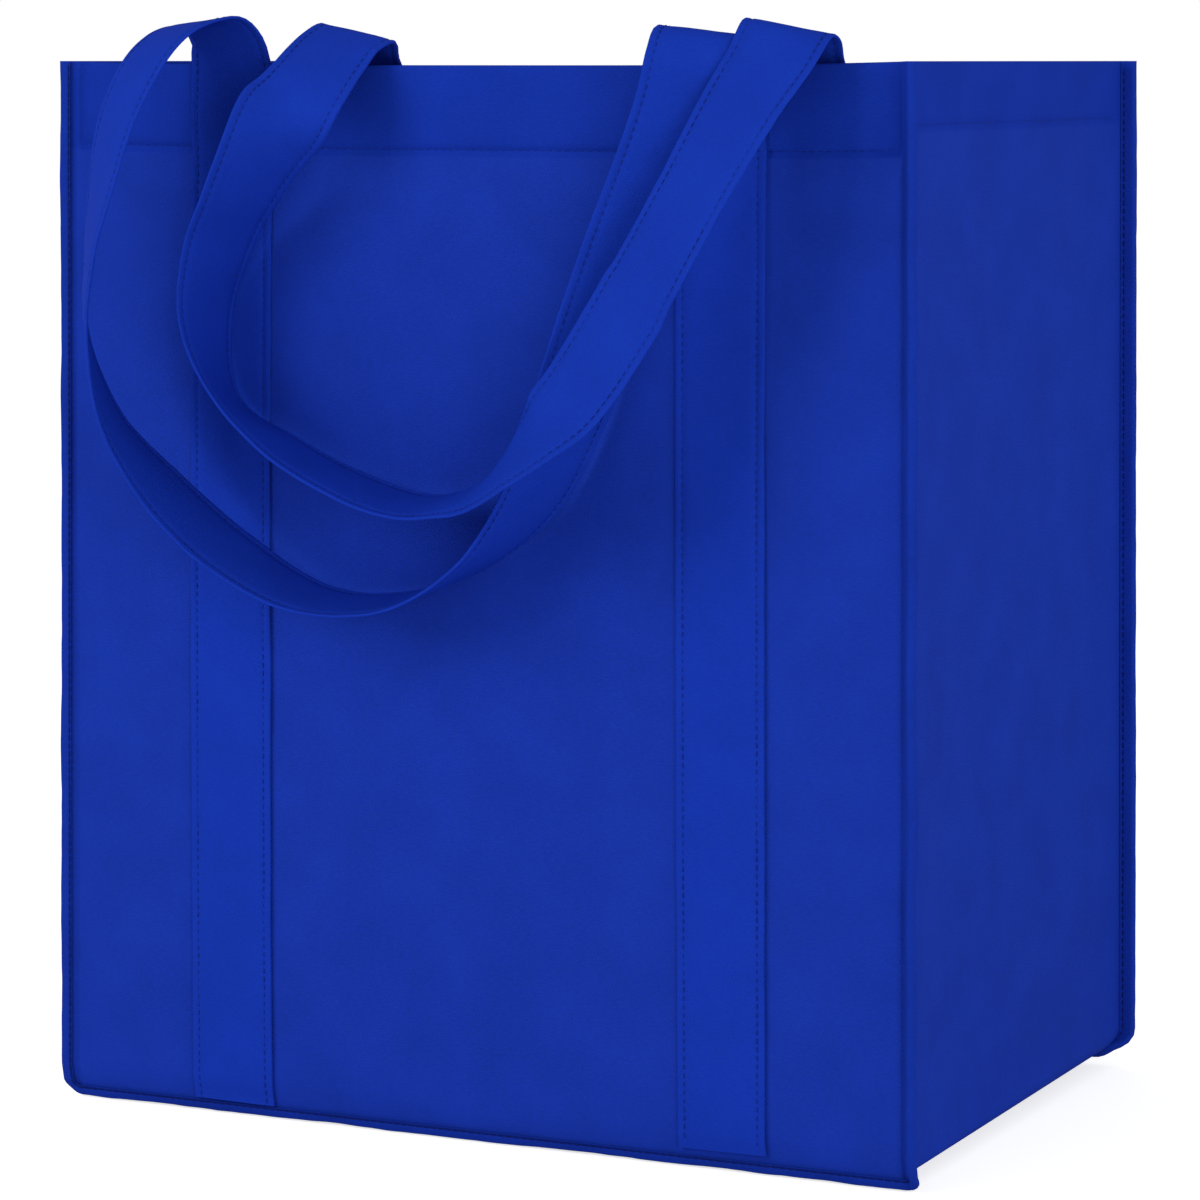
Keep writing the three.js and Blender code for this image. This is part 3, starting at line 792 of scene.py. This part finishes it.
class Nodes:
    """Node tree of one material, with short calls to add and join nodes"""

    def __init__(self, name):
        self.material = bpy.data.materials.new(name)
        self.material.use_nodes = True
        self.tree = self.material.node_tree
        self.shader = self.tree.nodes["Principled BSDF"]

    def add(self, kind, inputs=None, **settings):
        node = self.tree.nodes.new(kind)
        for key, value in settings.items():
            setattr(node, key, value)
        for key, value in (inputs or {}).items():
            if isinstance(value, bpy.types.NodeSocket):
                self.tree.links.new(value, node.inputs[key])
            else:
                node.inputs[key].default_value = value
        return node

    def math(self, operation, a, b=0.0):
        return self.add("ShaderNodeMath", {0: a, 1: b}, operation=operation).outputs[0]

    def remap(self, value, low, high, to_low, to_high):
        inputs = {"Value": value, "From Min": low, "From Max": high, "To Min": to_low, "To Max": to_high}
        return self.add("ShaderNodeMapRange", inputs).outputs[0]

    def join(self, socket, name):
        self.tree.links.new(socket, self.shader.inputs[name])


def cloth_material(name, color, bond=1.0, mottle=1.0):
    """Spunbond cloth: rows of small fused pits, as deep as bond says, fine fibres and a cloudy
    thickness, as strong as mottle says"""
    n = Nodes(name)
    uv = n.add("ShaderNodeUVMap", uv_map="cloth").outputs[0]
    turned = n.add("ShaderNodeMapping", {
        "Vector": uv, "Rotation": (0, 0, math.radians(45)), "Scale": (1000, 1000, 1000)}).outputs[0]
    cell = n.add("ShaderNodeTexVoronoi", {"Vector": turned, "Scale": 1.05, "Randomness": 0.0},
                 voronoi_dimensions="2D", feature="F1")
    pit = n.remap(cell.outputs["Distance"], 0.18, 0.36, 1.0, 0.0)
    stretch = n.add("ShaderNodeMapping", {"Vector": uv, "Scale": (420, 1500, 1)}).outputs[0]
    fibre = n.add("ShaderNodeTexNoise", {"Vector": stretch, "Scale": 1.0, "Detail": 4.0, "Roughness": 0.62},
                  noise_dimensions="2D").outputs["Fac"]
    cloud = n.add("ShaderNodeTexNoise", {"Vector": uv, "Scale": 38.0, "Detail": 3.0, "Roughness": 0.55},
                  noise_dimensions="2D").outputs["Fac"]
    shade = n.math("ADD", n.remap(fibre, 0.3, 0.7, -0.06, 0.06), n.remap(cloud, 0.3, 0.7, -0.05, 0.05))
    shade = n.math("MULTIPLY_ADD", shade, mottle)
    shade.node.inputs[2].default_value = 1.0
    shade = n.math("SUBTRACT", shade, n.math("MULTIPLY", pit, 0.07 * bond))
    tint = n.add("ShaderNodeVectorMath", {0: color, "Scale": shade}, operation="SCALE").outputs[0]
    n.join(tint, "Base Color")
    n.join(n.math("SUBTRACT", CLOTH_ROUGHNESS, n.math("MULTIPLY", pit, 0.2 * bond)), "Roughness")
    height = n.math("SUBTRACT", n.math("MULTIPLY", fibre, 0.35), n.math("MULTIPLY", pit, bond))
    bump = n.add("ShaderNodeBump", {"Height": height, "Strength": 0.55, "Distance": 0.00012})
    n.join(bump.outputs[0], "Normal")
    n.shader.inputs["Specular IOR Level"].default_value = 0.02
    return n.material


def thread_material(name, color):
    n = Nodes(name)
    place = n.add("ShaderNodeTexCoord").outputs["Object"]
    twist = n.add("ShaderNodeTexNoise", {"Vector": place, "Scale": 2600.0, "Detail": 1.0}).outputs["Fac"]
    tint = n.add("ShaderNodeVectorMath", {0: color, "Scale": n.remap(twist, 0.3, 0.7, 0.8, 1.15)},
                 operation="SCALE").outputs[0]
    n.join(tint, "Base Color")
    n.shader.inputs["Roughness"].default_value = 0.7
    n.shader.inputs["Specular IOR Level"].default_value = 0.08
    return n.material


def board_material():
    n = Nodes("board")
    place = n.add("ShaderNodeTexCoord").outputs["Object"]
    grain = n.add("ShaderNodeTexNoise", {"Vector": place, "Scale": 260.0, "Detail": 4.0}).outputs["Fac"]
    tint = n.add("ShaderNodeVectorMath", {0: BOARD_BLUE, "Scale": n.remap(grain, 0.3, 0.7, 0.88, 1.1)},
                 operation="SCALE").outputs[0]
    n.join(tint, "Base Color")
    n.join(n.remap(grain, 0.3, 0.7, 0.5, 0.68), "Roughness")
    bump = n.add("ShaderNodeBump", {"Height": grain, "Strength": 0.4, "Distance": 0.0002})
    n.join(bump.outputs[0], "Normal")
    return n.material


# The bag
def strap_flat(line):
    return (STRAP_WIDTH * MM, line[2][-1] * MM)


def build_bag():
    wall = [cloth_material("wall_cloth", WALL_BLUE), cloth_material("hem_cloth", HEM_BLUE)]
    strap_cloth = [cloth_material("strap_cloth", STRAP_BLUE, mottle=0.8)]
    tape = [cloth_material("seam_tape", TAPE_BLUE, bond=0.6)]
    sewing = [thread_material("thread", THREAD_BLUE)]
    # Dark thread for the tape rows, which paints the shade line at the root of the bound seams
    seam_shade_sewing = [thread_material("seam_shade_thread", SEAM_SHADE_THREAD_BLUE)]
    x = STRAP_SPACING / 2

    front_up = sewn_run(-x, -1, FRONT_DROOP, 1, 1)
    front_down = sewn_run(x, -1, FRONT_DROOP, 1, -1)
    front_line = strap_line(front_up, [hung(row, FRONT_LOOP_DROP) for row in FRONT_LOOP], front_down)
    back_up = sewn_run(-x, 1, BACK_DROOP, 11, 1)
    back_down = sewn_run(x, 1, BACK_DROOP, 11, -1)
    back_free = [
        *back_fold(-x, 1),
        *mouth_stations(-x, BACK_LOOP[0][0] * WIDTH, 1),
        *[hung(row, BACK_LOOP_DROP) for row in BACK_LOOP],
        *mouth_stations(x, BACK_LOOP[-1][0] * WIDTH, -1)[::-1],
        *back_fold(x, -1)[::-1],
    ]
    back_line = strap_line(back_up, back_free, back_down)
    sewn_length = HEIGHT - FLOOR_LIFT

    cut_height = HEIGHT + FRONT_HEM + HEM_TUCK
    panel_flat = ((WIDTH + 2 * SEAM_ALLOWANCE) * MM, cut_height * MM)
    band_flat = ((2 * BAND_HALF_DEPTH + 2 * SEAM_ALLOWANCE) * MM, (2 * (HEIGHT + SIDE_HEM) + WIDTH) * MM)
    tape_flat = ((2 * SEAM_ALLOWANCE + 4) * MM, (2 * HEIGHT + WIDTH) * MM)

    pieces = {
        "front_panel": (panel("front_cloth", -1, FRONT_DROOP, 1, wall), panel_flat,
                        hem_rows(-1, FRONT_DROOP, 1)),
        "back_panel": (panel("back_cloth", 1, BACK_DROOP, 11, wall), panel_flat, hem_rows(1, BACK_DROOP, 11)),
        "gusset_band": (gusset("side_cloth", wall), band_flat, side_hem_rows(-1) + side_hem_rows(1)),
        "front_binding": (binding("front_tape", -1, 41, tape), tape_flat, binding_rows(-1)),
        "back_binding": (binding("back_tape", 1, 51, tape), tape_flat, binding_rows(1)),
        "front_strap": (strap("front_webbing", front_line, 61, strap_cloth), strap_flat(front_line),
                        strap_rows(front_line, sewn_length)),
        "back_strap": (strap("back_webbing", back_line, 71, strap_cloth), strap_flat(back_line),
                       strap_rows(back_line, sewn_length)),
    }
    for node, (piece, flat, rows) in pieces.items():
        bound = node.endswith("binding")
        # Bound seams get the dark, thick thread that paints their shade line
        cord = (seam_shade_sewing, TAPE_THREAD) if bound else (sewing, THREAD)
        stitches = thread(node + "_thread", rows, *cord)
        for part in (piece, stitches):
            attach(part, "root")
        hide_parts(node)
    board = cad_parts["bottom_board"]
    board.data.materials.clear()
    board.data.materials.append(board_material())


# Studio: a white floor that runs into a white background, and soft lamps
def white_floor():
    bpy.ops.mesh.primitive_plane_add(size=30, location=(0, 0, -0.0002))
    floor = bpy.context.object
    floor.name = "floor"
    material = bpy.data.materials.new("floor")
    material.use_nodes = True
    tree = material.node_tree
    shader = tree.nodes["Principled BSDF"]
    shader.inputs["Base Color"].default_value = (0.8, 0.8, 0.8, 1)
    shader.inputs["Roughness"].default_value = 0.9
    shader.inputs["Specular IOR Level"].default_value = 0.0
    glow = tree.nodes.new("ShaderNodeEmission")
    glow.inputs["Strength"].default_value = 0.66
    both = tree.nodes.new("ShaderNodeAddShader")
    mix = tree.nodes.new("ShaderNodeMixShader")
    path = tree.nodes.new("ShaderNodeLightPath")
    tree.links.new(shader.outputs[0], both.inputs[0])
    tree.links.new(glow.outputs[0], both.inputs[1])
    tree.links.new(path.outputs["Is Camera Ray"], mix.inputs[0])
    tree.links.new(shader.outputs[0], mix.inputs[1])
    tree.links.new(both.outputs[0], mix.inputs[2])
    tree.links.new(mix.outputs[0], tree.nodes["Material Output"].inputs["Surface"])
    floor.data.materials.append(material)


def world_light(strength):
    world = bpy.data.worlds.new("studio")
    bpy.context.scene.world = world
    world.use_nodes = True
    tree = world.node_tree
    light = tree.nodes["Background"]
    light.inputs["Color"].default_value = (1, 1, 1, 1)
    light.inputs["Strength"].default_value = strength
    seen = tree.nodes.new("ShaderNodeBackground")
    seen.inputs["Color"].default_value = (1, 1, 1, 1)
    mix = tree.nodes.new("ShaderNodeMixShader")
    path = tree.nodes.new("ShaderNodeLightPath")
    tree.links.new(path.outputs["Is Camera Ray"], mix.inputs[0])
    tree.links.new(light.outputs[0], mix.inputs[1])
    tree.links.new(seen.outputs[0], mix.inputs[2])
    tree.links.new(mix.outputs[0], tree.nodes["World Output"].inputs["Surface"])


def lamp(name, azimuth, elevation, distance, size, watts):
    """Square soft lamp that looks at the bag. azimuth turns from the front to the right."""
    a, e = math.radians(azimuth), math.radians(elevation)
    back = Vector((math.sin(a) * math.cos(e), -math.cos(a) * math.cos(e), math.sin(e)))
    data = bpy.data.lights.new(name, "AREA")
    data.shape, data.size, data.energy = "SQUARE", size, watts
    light = bpy.data.objects.new(name, data)
    light.location = Vector((0, 0, 0.2)) + distance * back
    light.rotation_euler = back.to_track_quat("Z", "Y").to_euler()
    bpy.context.collection.objects.link(light)


make_camera()
build_bag()
white_floor()
world_light(0.5)
lamp("key", -38, 22, 2.2, 1.1, 21)
lamp("front_fill", 45, 5, 2.4, 1.2, 19)
lamp("side_fill", 84, 12, 2.4, 1.2, 10)
bpy.context.scene.view_settings.view_transform = "Standard"
